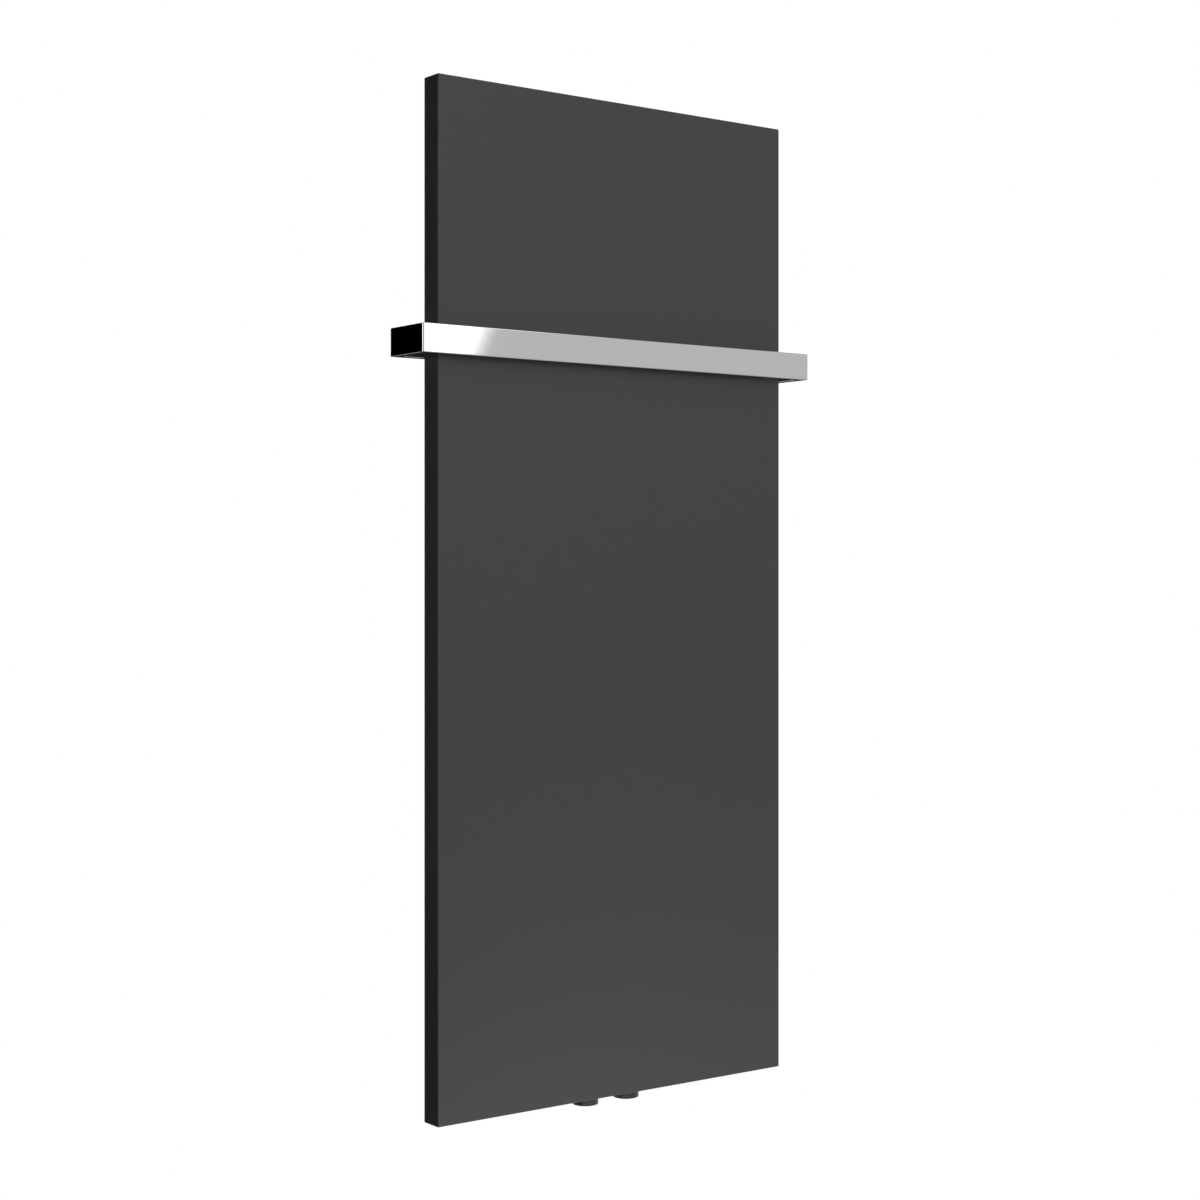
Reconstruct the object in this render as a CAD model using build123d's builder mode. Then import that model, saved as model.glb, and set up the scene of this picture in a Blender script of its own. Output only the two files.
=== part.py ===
"""Wall-hung flat-panel bathroom radiator with a towel rail that wraps round the panel.

Millimetres.  +X is the radiator's right seen from the room, +Y points into the wall, +Z is up.
The origin is on the wall plane, at the centre of the four screw holes of the two wall brackets.
"""
import os

from build123d import *

os.makedirs("parts", exist_ok=True)

# ---- driving dimensions: panel -------------------------------------------------------------------
panel_width = 420
panel_height = 980
panel_depth = 24
sheet = 1.5
fold_radius = 1.0
wall_gap = 60
hook_height = 860

# ---- driving dimensions: water way ---------------------------------------------------------------
tube_count = 6
tube_pitch = 68
tube_width = 60
tube_depth = 10
tube_wall = 1.5
tube_corner = 3
header_depth = 20
header_height = 40
header_length = 396
cap_thickness = 2
header_margin_low = 16
header_margin_high = 28
port_width = 40
port_height = 10
socket_pitch = 50
socket_radius = 13
socket_reach = 8.5
thread_radius = 9.32
thread_length = 16
spigot_radius = 9
spigot_bore = 7
socket_chamfer = 0.8
notch_clearance = 1
keyway_clearance = 2

# ---- driving dimensions: vent --------------------------------------------------------------------
vent_offset = 170
vent_height = 12
vent_outer = 9
vent_bore = 6.5
vent_spigot = 8
vent_spigot_bore = 5
shank_radius = 6.45
shank_length = 10
thread_runout = 1
seal_height = 1.2
seal_inset = 0.5
hex_across = 16
hex_height = 2.5
hex_chamfer = 0.5
neck_radius = 4.5
neck_height = 5.5
screw_radius = 2.9
running_gap = 0.05
seat_rise = 4
needle_bore = 1.2
needle_height = 1.5
weep_bore = 0.8
disc_height = 1
disc_overhang = 1.2
disc_play = 0.1
spout_radius = 8
spout_reach = 14
nozzle_radius = 2.2
spout_play = 0.15
groove_depth = 1
groove_height = 2
key_square = 5
key_height = 4
key_chamfer = 0.4
plug_head_height = 5
plug_head_round = 1

# ---- driving dimensions: towel rail --------------------------------------------------------------
rail_standoff = 16.5
rail_side_gap = 26
rail_back = 43
rail_thickness = 10
rail_height = 27
rail_bottom = 718
rail_wall = 1.5
rail_corner = 2
rail_inner_corner = 1
rail_edge = 0.6
rail_return_end = 146
rail_screw_offsets = (162, 178)
m5_radius = 2.5
m5_clearance = 2.75
nut_across = 8
nut_height = 4
washer_height = 1
head_height = 3
head_radius = 4.5
head_round = 1
head_key = 3
head_key_depth = 2
screw_tail = 2
plug_depth = 8
plug_head = 1.5
rail_hat_web = 34
rail_hat_flange = 8

# ---- driving dimensions: hanging -----------------------------------------------------------------
bracket_offset = 102
bracket_plate = 3
bracket_width = 36
bracket_height = 104
screw_spacing = 80
screw_hole = 4.25
arm_thickness = 6
pin_radius = 4
pin_length = 22
pin_depth = 32
liner_wall = 0.95
liner_flange = 1.5
liner_lip = 2
hook_top = 8
lug_sheet = 2
lug_inner_width = 12
lug_height = 50
cheek_height = 40
pin_chamfer = 0.5
plate_corner = 4
hook_wall = 3
hook_nose = (4, 5)
hook_foot = -28
hook_shoulder = 26

# ---- driving dimensions: plumb adjusters ---------------------------------------------------------
adjuster_height = 125
hat_depth = 19.5
hat_web = 24
hat_flange = 10
hat_length = 30
m8_radius = 4
m8_nut_across = 13
m8_nut_height = 6
foot_radius = 12
foot_neck_radius = 9
pad_thickness = 2
collar_depth = 42
collar_length = 4.5
collar_gap = 0.5
foot_lip = 1.5
disc_length = 3
disc_radius = 4.5
spindle_neck = 3
spindle_clearance = 3
spindle_chamfer = 0.8
spindle_hole = 4.5
play = 0.1

# ---- places worked out from them -----------------------------------------------------------------
front_y = -wall_gap
back_y = front_y + panel_depth
bottom_z = -hook_height
top_z = bottom_z + panel_height
tube_front = front_y + sheet
tube_back = tube_front + tube_depth
header_mid_y = tube_back + header_depth / 2
lower_header_z = bottom_z + header_margin_low
upper_header_z = top_z - header_margin_high - header_height
tube_low = lower_header_z
tube_high = upper_header_z + header_height
header_mids = {"lower": lower_header_z + header_height / 2, "upper": upper_header_z + header_height / 2}
tube_places = [(number - (tube_count - 1) / 2) * tube_pitch for number in range(tube_count)]
rail_mid_z = bottom_z + rail_bottom + rail_height / 2
sides = {"left": -1, "right": 1}


def facing_front(y):
    """A sketch plane across the radiator at depth y: local x is +X, local y is +Z, normal is -Y."""
    return Plane(origin=(0, y, 0), x_dir=(1, 0, 0), z_dir=(0, -1, 0))


def side_on(x):
    """A sketch plane at width x: local x is +Y, local y is +Z, normal is +X."""
    return Plane(origin=(x, 0, 0), x_dir=(0, 1, 0), z_dir=(1, 0, 0))


def save(part, name):
    """Labels a finished piece and writes its STEP file."""
    part.label = name
    export_step(part, f"parts/{name}.step")


# ---- front cover: one folded sheet tray, open at the back -----------------------------------------
cover_middle = (0, front_y + panel_depth / 2, bottom_z + panel_height / 2)
with BuildPart() as front_cover:
    with Locations(cover_middle):
        Box(panel_width, panel_depth, panel_height)
    fillet(front_cover.faces().sort_by(Axis.Y)[0].edges(), fold_radius)
    with Locations((0, cover_middle[1] + sheet, cover_middle[2])):
        Box(panel_width - 2 * sheet, panel_depth, panel_height - 2 * sheet, mode=Mode.SUBTRACT)
    # notches in the bottom flange let the connection sockets through, and in the top flange the vent key
    with BuildSketch(Plane.XY.offset(bottom_z)):
        with Locations((0, header_mid_y)):
            SlotCenterToCenter(socket_pitch, 2 * (socket_radius + notch_clearance))
        with Locations((0, back_y)):
            Rectangle(socket_pitch + 2 * (socket_radius + notch_clearance), 2 * (back_y - header_mid_y))
    extrude(amount=sheet, mode=Mode.SUBTRACT)
    with BuildSketch(Plane.XY.offset(top_z - sheet)):
        for side in sides.values():
            with Locations((side * vent_offset, header_mid_y)):
                Circle(vent_outer + keyway_clearance)
            with Locations((side * vent_offset, back_y)):
                Rectangle(2 * (vent_outer + keyway_clearance), 2 * (back_y - header_mid_y))
    extrude(amount=sheet, mode=Mode.SUBTRACT)
save(front_cover.part, "front_cover")

# ---- water tubes: flat steel tube, ends welded shut, a port in the back wall at each header ------------
for number, tube_x in enumerate(tube_places, start=1):
    with BuildPart() as water_tube:
        with BuildSketch(Plane.XY.offset(tube_low)):
            with Locations((tube_x, tube_front + tube_depth / 2)):
                RectangleRounded(tube_width, tube_depth, tube_corner)
        extrude(amount=tube_high - tube_low)
        with BuildSketch(Plane.XY.offset(tube_low + tube_wall)):
            with Locations((tube_x, tube_front + tube_depth / 2)):
                RectangleRounded(
                    tube_width - 2 * tube_wall, tube_depth - 2 * tube_wall, tube_corner - tube_wall
                )
        extrude(amount=tube_high - tube_low - 2 * tube_wall, mode=Mode.SUBTRACT)
        with BuildSketch(facing_front(tube_back)):
            for mid_z in header_mids.values():
                with Locations((tube_x, mid_z)):
                    SlotOverall(port_width, port_height)
        extrude(amount=tube_wall, mode=Mode.SUBTRACT)
    save(water_tube.part, f"water_tube_{number}")

# ---- headers: rectangular steel tubes welded across the backs of the water tubes -------------------
for level, mid_z in header_mids.items():
    with BuildPart() as header:
        with Locations((0, header_mid_y, mid_z)):
            Box(header_length, header_depth, header_height)
        fillet(header.edges().filter_by(Axis.X), tube_corner)
        with BuildSketch(side_on(-header_length / 2)):
            with Locations((header_mid_y, mid_z)):
                RectangleRounded(
                    header_depth - 2 * tube_wall, header_height - 2 * tube_wall, tube_corner - tube_wall
                )
        extrude(amount=header_length, mode=Mode.SUBTRACT)
        with BuildSketch(facing_front(tube_back + tube_wall)):
            for tube_x in tube_places:
                with Locations((tube_x, mid_z)):
                    SlotOverall(port_width, port_height)
        extrude(amount=tube_wall, mode=Mode.SUBTRACT)
        if level == "lower":
            with BuildSketch(Plane.XY.offset(lower_header_z)):
                for side in sides.values():
                    with Locations((side * socket_pitch / 2, header_mid_y)):
                        Circle(spigot_radius)
            extrude(amount=tube_wall, mode=Mode.SUBTRACT)
        else:
            with BuildSketch(Plane.XY.offset(upper_header_z + header_height - tube_wall)):
                for side in sides.values():
                    with Locations((side * vent_offset, header_mid_y)):
                        Circle(vent_spigot)
            extrude(amount=tube_wall, mode=Mode.SUBTRACT)
    save(header.part, f"{level}_header")

# ---- header end caps: flat plates welded over the open tube ends -----------------------------------
for level, mid_z in header_mids.items():
    for side_name, side in sides.items():
        with BuildPart() as end_cap:
            with Locations((side * (header_length + cap_thickness) / 2, header_mid_y, mid_z)):
                Box(cap_thickness, header_depth, header_height)
            fillet(end_cap.edges().filter_by(Axis.X), tube_corner)
        save(end_cap.part, f"{level}_header_cap_{side_name}")

# ---- flow baffle: blocks the lower header between flow and return ----------------------------------
with BuildPart() as flow_baffle:
    with BuildSketch(side_on(-cap_thickness / 2)):
        with Locations((header_mid_y, header_mids["lower"])):
            RectangleRounded(
                header_depth - 2 * tube_wall, header_height - 2 * tube_wall, tube_corner - tube_wall
            )
    extrude(amount=cap_thickness)
save(flow_baffle.part, "flow_baffle")

# ---- connection sockets: turned bosses, half-inch pipe thread, welded under the lower header ----------
socket_mouth_z = bottom_z - socket_reach
for side_name, side in sides.items():
    with BuildPart() as connection_socket:
        with BuildSketch(Plane.XY.offset(socket_mouth_z)):
            with Locations((side * socket_pitch / 2, header_mid_y)):
                Circle(socket_radius)
        extrude(amount=lower_header_z - socket_mouth_z)
        chamfer(connection_socket.edges().group_by(Axis.Z)[0], socket_chamfer)
        with BuildSketch(Plane.XY.offset(lower_header_z)):
            with Locations((side * socket_pitch / 2, header_mid_y)):
                Circle(spigot_radius)
        extrude(amount=tube_wall)
        with BuildSketch(Plane.XY.offset(socket_mouth_z)):
            with Locations((side * socket_pitch / 2, header_mid_y)):
                Circle(thread_radius)
        extrude(amount=thread_length, mode=Mode.SUBTRACT)
        with BuildSketch(Plane.XY.offset(socket_mouth_z)):
            with Locations((side * socket_pitch / 2, header_mid_y)):
                Circle(spigot_bore)
        extrude(amount=lower_header_z + tube_wall - socket_mouth_z, mode=Mode.SUBTRACT)
    save(connection_socket.part, f"connection_socket_{side_name}")

# ---- vent sockets: small threaded bosses on top of the upper header --------------------------------
vent_base_z = upper_header_z + header_height
vent_top_z = vent_base_z + vent_height
for side_name, side in sides.items():
    with BuildPart() as vent_socket:
        with BuildSketch(Plane.XY.offset(vent_base_z)):
            with Locations((side * vent_offset, header_mid_y)):
                Circle(vent_outer)
        extrude(amount=vent_height)
        with BuildSketch(Plane.XY.offset(vent_base_z - tube_wall)):
            with Locations((side * vent_offset, header_mid_y)):
                Circle(vent_spigot)
        extrude(amount=tube_wall)
        with BuildSketch(Plane.XY.offset(vent_base_z - tube_wall)):
            with Locations((side * vent_offset, header_mid_y)):
                Circle(vent_spigot_bore)
        extrude(amount=vent_height, mode=Mode.SUBTRACT)
        with BuildSketch(Plane.XY.offset(vent_top_z)):
            with Locations((side * vent_offset, header_mid_y)):
                Circle(vent_bore)
        extrude(amount=-shank_length - thread_runout, mode=Mode.SUBTRACT)
    save(vent_socket.part, f"vent_socket_{side_name}")

# ---- seals: flat rings under the hexagons of the vent and of the plug ------------------------------
hex_base_z = vent_top_z + seal_height
for piece, side in (("bleed_valve_seal", 1), ("blanking_plug_seal", -1)):
    with BuildPart() as seal:
        with BuildSketch(Plane.XY.offset(vent_top_z)):
            with Locations((side * vent_offset, header_mid_y)):
                Circle(vent_outer - seal_inset)
                Circle(vent_bore, mode=Mode.SUBTRACT)
        extrude(amount=seal_height)
    save(seal.part, piece)

# ---- bleed valve body: nickel-plated brass, needle seat at its foot, neck for the spout ---------------
hex_top_z = hex_base_z + hex_height
neck_top_z = hex_top_z + neck_height
shank_base_z = hex_base_z - shank_length
seat_z = shank_base_z + seat_rise
spout_base_z = hex_top_z + spout_play
spout_height = neck_height - 2 * spout_play
spout_mid_z = spout_base_z + spout_height / 2
vent_axis = (vent_offset, header_mid_y)
with BuildPart() as bleed_valve_body:
    with BuildSketch(Plane.XY.offset(shank_base_z)):
        with Locations(vent_axis):
            Circle(shank_radius)
    extrude(amount=shank_length)
    with BuildSketch(Plane.XY.offset(hex_base_z)):
        with Locations(vent_axis):
            RegularPolygon(hex_across / 2, 6, major_radius=False)
    extrude(amount=hex_height)
    chamfer(bleed_valve_body.faces().sort_by(Axis.Z)[-1].edges(), hex_chamfer)
    with BuildSketch(Plane.XY.offset(hex_top_z)):
        with Locations(vent_axis):
            Circle(neck_radius)
    extrude(amount=neck_height)
    with BuildSketch(Plane.XY.offset(seat_z)):
        with Locations(vent_axis):
            Circle(screw_radius + running_gap)
    extrude(amount=neck_top_z - seat_z, mode=Mode.SUBTRACT)
    with BuildSketch(Plane.XY.offset(shank_base_z)):
        with Locations(vent_axis):
            Circle(needle_bore)
    extrude(amount=seat_z - shank_base_z, mode=Mode.SUBTRACT)
    with BuildSketch(facing_front(header_mid_y)):
        with Locations((vent_offset, spout_mid_z)):
            Circle(weep_bore)
    extrude(amount=-neck_radius - 1, mode=Mode.SUBTRACT)
save(bleed_valve_body.part, "bleed_valve_body")

# ---- bleed screw: needle, threaded shaft, retaining disc and square for the vent key ------------------
disc_base_z = neck_top_z + disc_play
with BuildPart() as bleed_screw:
    with BuildSketch(Plane.XY.offset(seat_z + running_gap)):
        with Locations(vent_axis):
            Circle(needle_bore)
    with BuildSketch(Plane.XY.offset(seat_z + running_gap + needle_height)):
        with Locations(vent_axis):
            Circle(screw_radius)
    loft()
    with BuildSketch(Plane.XY.offset(seat_z + running_gap + needle_height)):
        with Locations(vent_axis):
            Circle(screw_radius)
    extrude(amount=disc_base_z - seat_z - running_gap - needle_height)
    with BuildSketch(Plane.XY.offset(disc_base_z)):
        with Locations(vent_axis):
            Circle(neck_radius + disc_overhang)
    extrude(amount=disc_height)
    with BuildSketch(Plane.XY.offset(disc_base_z + disc_height)):
        with Locations(vent_axis):
            Rectangle(key_square, key_square)
    extrude(amount=key_height)
    chamfer(bleed_screw.faces().sort_by(Axis.Z)[-1].edges(), key_chamfer)
save(bleed_screw.part, "bleed_screw")

# ---- bleed spout: plastic ring round the neck, swivels so that the nozzle points into a cup -----------
with BuildPart() as bleed_spout:
    with BuildSketch(Plane.XY.offset(spout_base_z)):
        with Locations(vent_axis):
            Circle(spout_radius)
    extrude(amount=spout_height)
    with BuildSketch(facing_front(header_mid_y)):
        with Locations((vent_offset, spout_mid_z)):
            Circle(nozzle_radius)
    extrude(amount=-spout_reach)
    with BuildSketch(Plane.XY.offset(spout_base_z)):
        with Locations(vent_axis):
            Circle(neck_radius + running_gap)
    extrude(amount=spout_height, mode=Mode.SUBTRACT)
    with BuildSketch(Plane.XY.offset(spout_mid_z - groove_height / 2)):
        with Locations(vent_axis):
            Circle(neck_radius + groove_depth)
    extrude(amount=groove_height, mode=Mode.SUBTRACT)
    with BuildSketch(facing_front(header_mid_y)):
        with Locations((vent_offset, spout_mid_z)):
            Circle(nozzle_radius / 2)
    extrude(amount=-spout_reach, mode=Mode.SUBTRACT)
save(bleed_spout.part, "bleed_spout")

# ---- blanking plug: closes the other vent socket, hexagon socket in its head --------------------------
plug_axis = (-vent_offset, header_mid_y)
with BuildPart() as blanking_plug:
    with BuildSketch(Plane.XY.offset(shank_base_z)):
        with Locations(plug_axis):
            Circle(shank_radius)
    extrude(amount=shank_length)
    with BuildSketch(Plane.XY.offset(hex_base_z)):
        with Locations(plug_axis):
            Circle(hex_across / 2)
    extrude(amount=plug_head_height)
    fillet(blanking_plug.faces().sort_by(Axis.Z)[-1].edges(), plug_head_round)
    with BuildSketch(Plane.XY.offset(hex_base_z + plug_head_height)):
        with Locations(plug_axis):
            RegularPolygon(key_square / 2, 6, major_radius=False)
    extrude(amount=-plug_head_height, mode=Mode.SUBTRACT)
save(blanking_plug.part, "blanking_plug")

# ---- towel rail: rectangular tube, front bar, two legs and two returns behind the panel ---------------
rail_outer_width = panel_width + 2 * rail_side_gap
rail_outer_depth = rail_standoff + rail_back
rail_centre_y = front_y - rail_standoff + rail_outer_depth / 2
rail_back_y = front_y + rail_back
with BuildPart() as towel_rail:
    with BuildSketch(Plane.XY.offset(bottom_z + rail_bottom)):
        with Locations((0, rail_centre_y)):
            RectangleRounded(rail_outer_width, rail_outer_depth, rail_corner)
            RectangleRounded(
                rail_outer_width - 2 * rail_thickness,
                rail_outer_depth - 2 * rail_thickness,
                rail_inner_corner,
                mode=Mode.SUBTRACT,
            )
        with Locations((0, rail_back_y)):
            Rectangle(2 * rail_return_end, 2 * rail_thickness + 1, mode=Mode.SUBTRACT)
    extrude(amount=rail_height)
    fillet(towel_rail.edges().group_by(Axis.Z)[0] + towel_rail.edges().group_by(Axis.Z)[-1], rail_edge)
    with BuildSketch(Plane.XY.offset(bottom_z + rail_bottom + rail_wall)):
        with Locations((0, rail_centre_y)):
            Rectangle(rail_outer_width - 2 * rail_wall, rail_outer_depth - 2 * rail_wall)
            Rectangle(
                rail_outer_width - 2 * rail_thickness + 2 * rail_wall,
                rail_outer_depth - 2 * rail_thickness + 2 * rail_wall,
                mode=Mode.SUBTRACT,
            )
        with Locations((0, rail_back_y - rail_thickness / 2)):
            Rectangle(2 * (rail_return_end - rail_wall), rail_thickness, mode=Mode.SUBTRACT)
    extrude(amount=rail_height - 2 * rail_wall, mode=Mode.SUBTRACT)
    with BuildSketch(facing_front(rail_back_y)):
        for side in sides.values():
            for offset_x in rail_screw_offsets:
                with Locations((side * offset_x, rail_mid_z)):
                    Circle(m5_clearance)
    extrude(amount=rail_thickness, mode=Mode.SUBTRACT)
save(towel_rail.part, "towel_rail")

# ---- rail end plugs: plastic plugs pushed into the open tube ends behind the panel ----------------------
return_mid_y = rail_back_y - rail_thickness / 2
for side_name, side in sides.items():
    with BuildPart() as rail_end_plug:
        with Locations((side * (rail_return_end - plug_head / 2), return_mid_y, rail_mid_z)):
            Box(plug_head, rail_thickness, rail_height)
        fillet(rail_end_plug.edges().filter_by(Axis.X), rail_edge)
        with Locations((side * (rail_return_end + plug_depth / 2), return_mid_y, rail_mid_z)):
            Box(plug_depth, rail_thickness - 2 * rail_wall, rail_height - 2 * rail_wall)
    save(rail_end_plug.part, f"rail_end_plug_{side_name}")

# ---- rail brackets: folded hat sections welded to the backs of the outer water tubes --------------------
rail_bracket_x = sum(rail_screw_offsets) / 2
rail_hat_depth = rail_back_y - rail_thickness - tube_back
for side_name, side in sides.items():
    with BuildPart() as rail_bracket:
        with BuildSketch(Plane.XY.offset(bottom_z + rail_bottom)):
            with Locations((side * rail_bracket_x, tube_back + rail_hat_depth / 2)):
                Rectangle(rail_hat_web, rail_hat_depth)
            with Locations((side * rail_bracket_x, tube_back + lug_sheet / 2)):
                Rectangle(rail_hat_web + 2 * rail_hat_flange, lug_sheet)
            with Locations((side * rail_bracket_x, tube_back + rail_hat_depth / 2 - lug_sheet)):
                Rectangle(rail_hat_web - 2 * lug_sheet, rail_hat_depth, mode=Mode.SUBTRACT)
        extrude(amount=rail_height)
        with BuildSketch(facing_front(tube_back + rail_hat_depth)):
            for offset_x in rail_screw_offsets:
                with Locations((side * offset_x, rail_mid_z)):
                    Circle(m5_clearance)
        extrude(amount=lug_sheet, mode=Mode.SUBTRACT)
    save(rail_bracket.part, f"rail_bracket_{side_name}")

# ---- rail nuts, washers and screws: four of each, the screws go in from the wall side --------------------
nut_face_y = tube_back + rail_hat_depth - lug_sheet
rail_points = [(side * offset_x, rail_mid_z) for side in sides.values() for offset_x in rail_screw_offsets]
with BuildPart() as rail_nuts:
    with BuildSketch(facing_front(nut_face_y)):
        with Locations(rail_points):
            RegularPolygon(nut_across / 2, 6, major_radius=False)
            Circle(m5_radius + running_gap, mode=Mode.SUBTRACT)
    extrude(amount=nut_height)
save(rail_nuts.part, "rail_nuts")

with BuildPart() as rail_washers:
    with BuildSketch(facing_front(rail_back_y)):
        with Locations(rail_points):
            Circle(2 * m5_radius)
            Circle(m5_clearance, mode=Mode.SUBTRACT)
    extrude(amount=-washer_height)
save(rail_washers.part, "rail_washers")

with BuildPart() as rail_screws:
    with BuildSketch(facing_front(rail_back_y + washer_height)):
        with Locations(rail_points):
            Circle(m5_radius)
    extrude(amount=washer_height + rail_thickness + lug_sheet + nut_height + screw_tail)
    with BuildSketch(facing_front(rail_back_y + washer_height)):
        with Locations(rail_points):
            Circle(head_radius)
    extrude(amount=-head_height)
    fillet(rail_screws.edges().group_by(Axis.Y)[-1], head_round)
    with BuildSketch(facing_front(rail_back_y + washer_height + head_height)):
        with Locations(rail_points):
            RegularPolygon(head_key / 2, 6, major_radius=False)
    extrude(amount=head_key_depth, mode=Mode.SUBTRACT)
save(rail_screws.part, "rail_screws")

# ---- hanging lugs and pins: welded to the tube backs, the pins drop into the wall hooks ------------------
pin_y = front_y + pin_depth
lug_outer_width = lug_inner_width + 2 * lug_sheet
for side_name, side in sides.items():
    lug_x = side * bracket_offset
    with BuildPart() as hanging_lug:
        with Locations((lug_x, tube_back + lug_sheet / 2, 0)):
            Box(lug_outer_width, lug_sheet, lug_height)
        for cheek_x in (lug_x - lug_outer_width / 2, lug_x + lug_inner_width / 2):
            with BuildSketch(side_on(cheek_x)):
                with Locations((pin_y, 0)):
                    Circle(2 * pin_radius)
                with Locations((tube_back + lug_sheet / 2, 0)):
                    Rectangle(lug_sheet, cheek_height)
                make_hull()
                with Locations((pin_y, 0)):
                    Circle(pin_radius, mode=Mode.SUBTRACT)
            extrude(amount=lug_sheet)
    save(hanging_lug.part, f"hanging_lug_{side_name}")

    with BuildPart() as hanging_pin:
        with BuildSketch(side_on(lug_x - pin_length / 2)):
            with Locations((pin_y, 0)):
                Circle(pin_radius)
        extrude(amount=pin_length)
        chamfer(hanging_pin.edges(), pin_chamfer)
    save(hanging_pin.part, f"hanging_pin_{side_name}")

# ---- wall brackets: a screwed-on plate with an upward hook, and the plastic liner in the hook ------
plate_front_y = -bracket_plate
slot_radius = pin_radius + running_gap + liner_wall
hook_front_y = pin_y - slot_radius - hook_wall
hook_chin = -slot_radius - hook_wall + 1
for side_name, side in sides.items():
    bracket_x = side * bracket_offset
    with BuildPart() as wall_bracket:
        with BuildSketch(facing_front(0)):
            with Locations((bracket_x, 0)):
                RectangleRounded(bracket_width, bracket_height, plate_corner)
            for hole_z in (-screw_spacing / 2, screw_spacing / 2):
                with Locations((bracket_x, hole_z)):
                    Circle(screw_hole, mode=Mode.SUBTRACT)
        extrude(amount=bracket_plate)
        with BuildSketch(side_on(bracket_x - arm_thickness / 2)):
            with BuildLine():
                Polyline(
                    (plate_front_y, hook_foot),
                    (hook_front_y + hook_nose[0], hook_chin - hook_nose[1]),
                    (hook_front_y, hook_chin),
                    (hook_front_y, hook_top),
                    (pin_y + slot_radius + hook_wall, hook_top),
                    (plate_front_y, hook_shoulder),
                    close=True,
                )
            make_face()
            with Locations((pin_y, 0)):
                Circle(slot_radius, mode=Mode.SUBTRACT)
            with Locations((pin_y, hook_top)):
                Rectangle(2 * slot_radius, 2 * hook_top, mode=Mode.SUBTRACT)
        extrude(amount=arm_thickness)
    save(wall_bracket.part, f"wall_bracket_{side_name}")

    with BuildPart() as hook_liner:
        with BuildSketch(side_on(bracket_x - arm_thickness / 2)):
            with Locations((pin_y, 0)):
                Circle(slot_radius)
            with Locations((pin_y, hook_top / 2)):
                Rectangle(2 * slot_radius, hook_top)
        extrude(amount=arm_thickness)
        for flange_x in (bracket_x - arm_thickness / 2 - liner_flange, bracket_x + arm_thickness / 2):
            with BuildSketch(side_on(flange_x)):
                with Locations((pin_y, 0)):
                    Circle(slot_radius + liner_lip)
                with Locations((pin_y, hook_top / 2)):
                    Rectangle(2 * (slot_radius + liner_lip), hook_top)
            extrude(amount=liner_flange)
        with BuildSketch(side_on(bracket_x - arm_thickness)):
            with Locations((pin_y, 0)):
                Circle(pin_radius + running_gap)
            with Locations((pin_y, hook_top)):
                Rectangle(2 * (pin_radius + running_gap), 2 * hook_top)
        extrude(amount=2 * arm_thickness, mode=Mode.SUBTRACT)
    save(hook_liner.part, f"hook_liner_{side_name}")

# ---- plumb adjusters: hat bracket and weld nut on a tube back, spindle, foot and pad on the wall ---
adjuster_z = bottom_z + adjuster_height
hat_face_y = tube_back + hat_depth
collar_y = front_y + collar_depth
foot_back_y = -pad_thickness
foot_front_y = collar_y + collar_length + collar_gap
disc_front_y = foot_front_y + foot_lip
spindle_front_y = tube_back + spindle_clearance
for side_name, side in sides.items():
    adjuster_x = side * bracket_offset
    with BuildPart() as spacer_bracket:
        with BuildSketch(Plane.XY.offset(adjuster_z - hat_length / 2)):
            with Locations((adjuster_x, tube_back + hat_depth / 2)):
                Rectangle(hat_web, hat_depth)
            with Locations((adjuster_x, tube_back + lug_sheet / 2)):
                Rectangle(hat_web + 2 * hat_flange, lug_sheet)
            with Locations((adjuster_x, tube_back + hat_depth / 2 - lug_sheet)):
                Rectangle(hat_web - 2 * lug_sheet, hat_depth, mode=Mode.SUBTRACT)
        extrude(amount=hat_length)
        with BuildSketch(facing_front(hat_face_y)):
            with Locations((adjuster_x, adjuster_z)):
                Circle(spindle_hole)
        extrude(amount=lug_sheet, mode=Mode.SUBTRACT)
    save(spacer_bracket.part, f"spacer_bracket_{side_name}")

    with BuildPart() as spacer_screw:
        with BuildSketch(facing_front(collar_y)):
            with Locations((adjuster_x, adjuster_z)):
                Circle(m8_radius)
        extrude(amount=collar_y - spindle_front_y)
        chamfer(spacer_screw.edges().group_by(Axis.Y)[0], spindle_chamfer)
        with BuildSketch(facing_front(collar_y)):
            with Locations((adjuster_x, adjuster_z)):
                RegularPolygon(m8_nut_across / 2, 6, major_radius=False)
        extrude(amount=-collar_length)
        with BuildSketch(facing_front(collar_y + collar_length)):
            with Locations((adjuster_x, adjuster_z)):
                Circle(spindle_neck)
        extrude(amount=-(disc_front_y - collar_y - collar_length))
        with BuildSketch(facing_front(disc_front_y)):
            with Locations((adjuster_x, adjuster_z)):
                Circle(disc_radius)
        extrude(amount=-disc_length)
    save(spacer_screw.part, f"spacer_screw_{side_name}")

    with BuildPart() as spacer_foot:
        with BuildSketch(facing_front(foot_front_y)):
            with Locations((adjuster_x, adjuster_z)):
                Circle(foot_neck_radius)
        with BuildSketch(facing_front(foot_back_y)):
            with Locations((adjuster_x, adjuster_z)):
                Circle(foot_radius)
        loft()
        with BuildSketch(facing_front(foot_front_y)):
            with Locations((adjuster_x, adjuster_z)):
                Circle(spindle_neck + play)
        extrude(amount=-(disc_front_y - foot_front_y), mode=Mode.SUBTRACT)
        with BuildSketch(facing_front(disc_front_y - play)):
            with Locations((adjuster_x, adjuster_z)):
                Circle(disc_radius + play)
        extrude(amount=-(disc_length + 2 * play), mode=Mode.SUBTRACT)
    save(spacer_foot.part, f"spacer_foot_{side_name}")

    with BuildPart() as spacer_pad:
        with BuildSketch(facing_front(0)):
            with Locations((adjuster_x, adjuster_z)):
                Circle(foot_radius)
        extrude(amount=pad_thickness)
    save(spacer_pad.part, f"spacer_pad_{side_name}")

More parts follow.
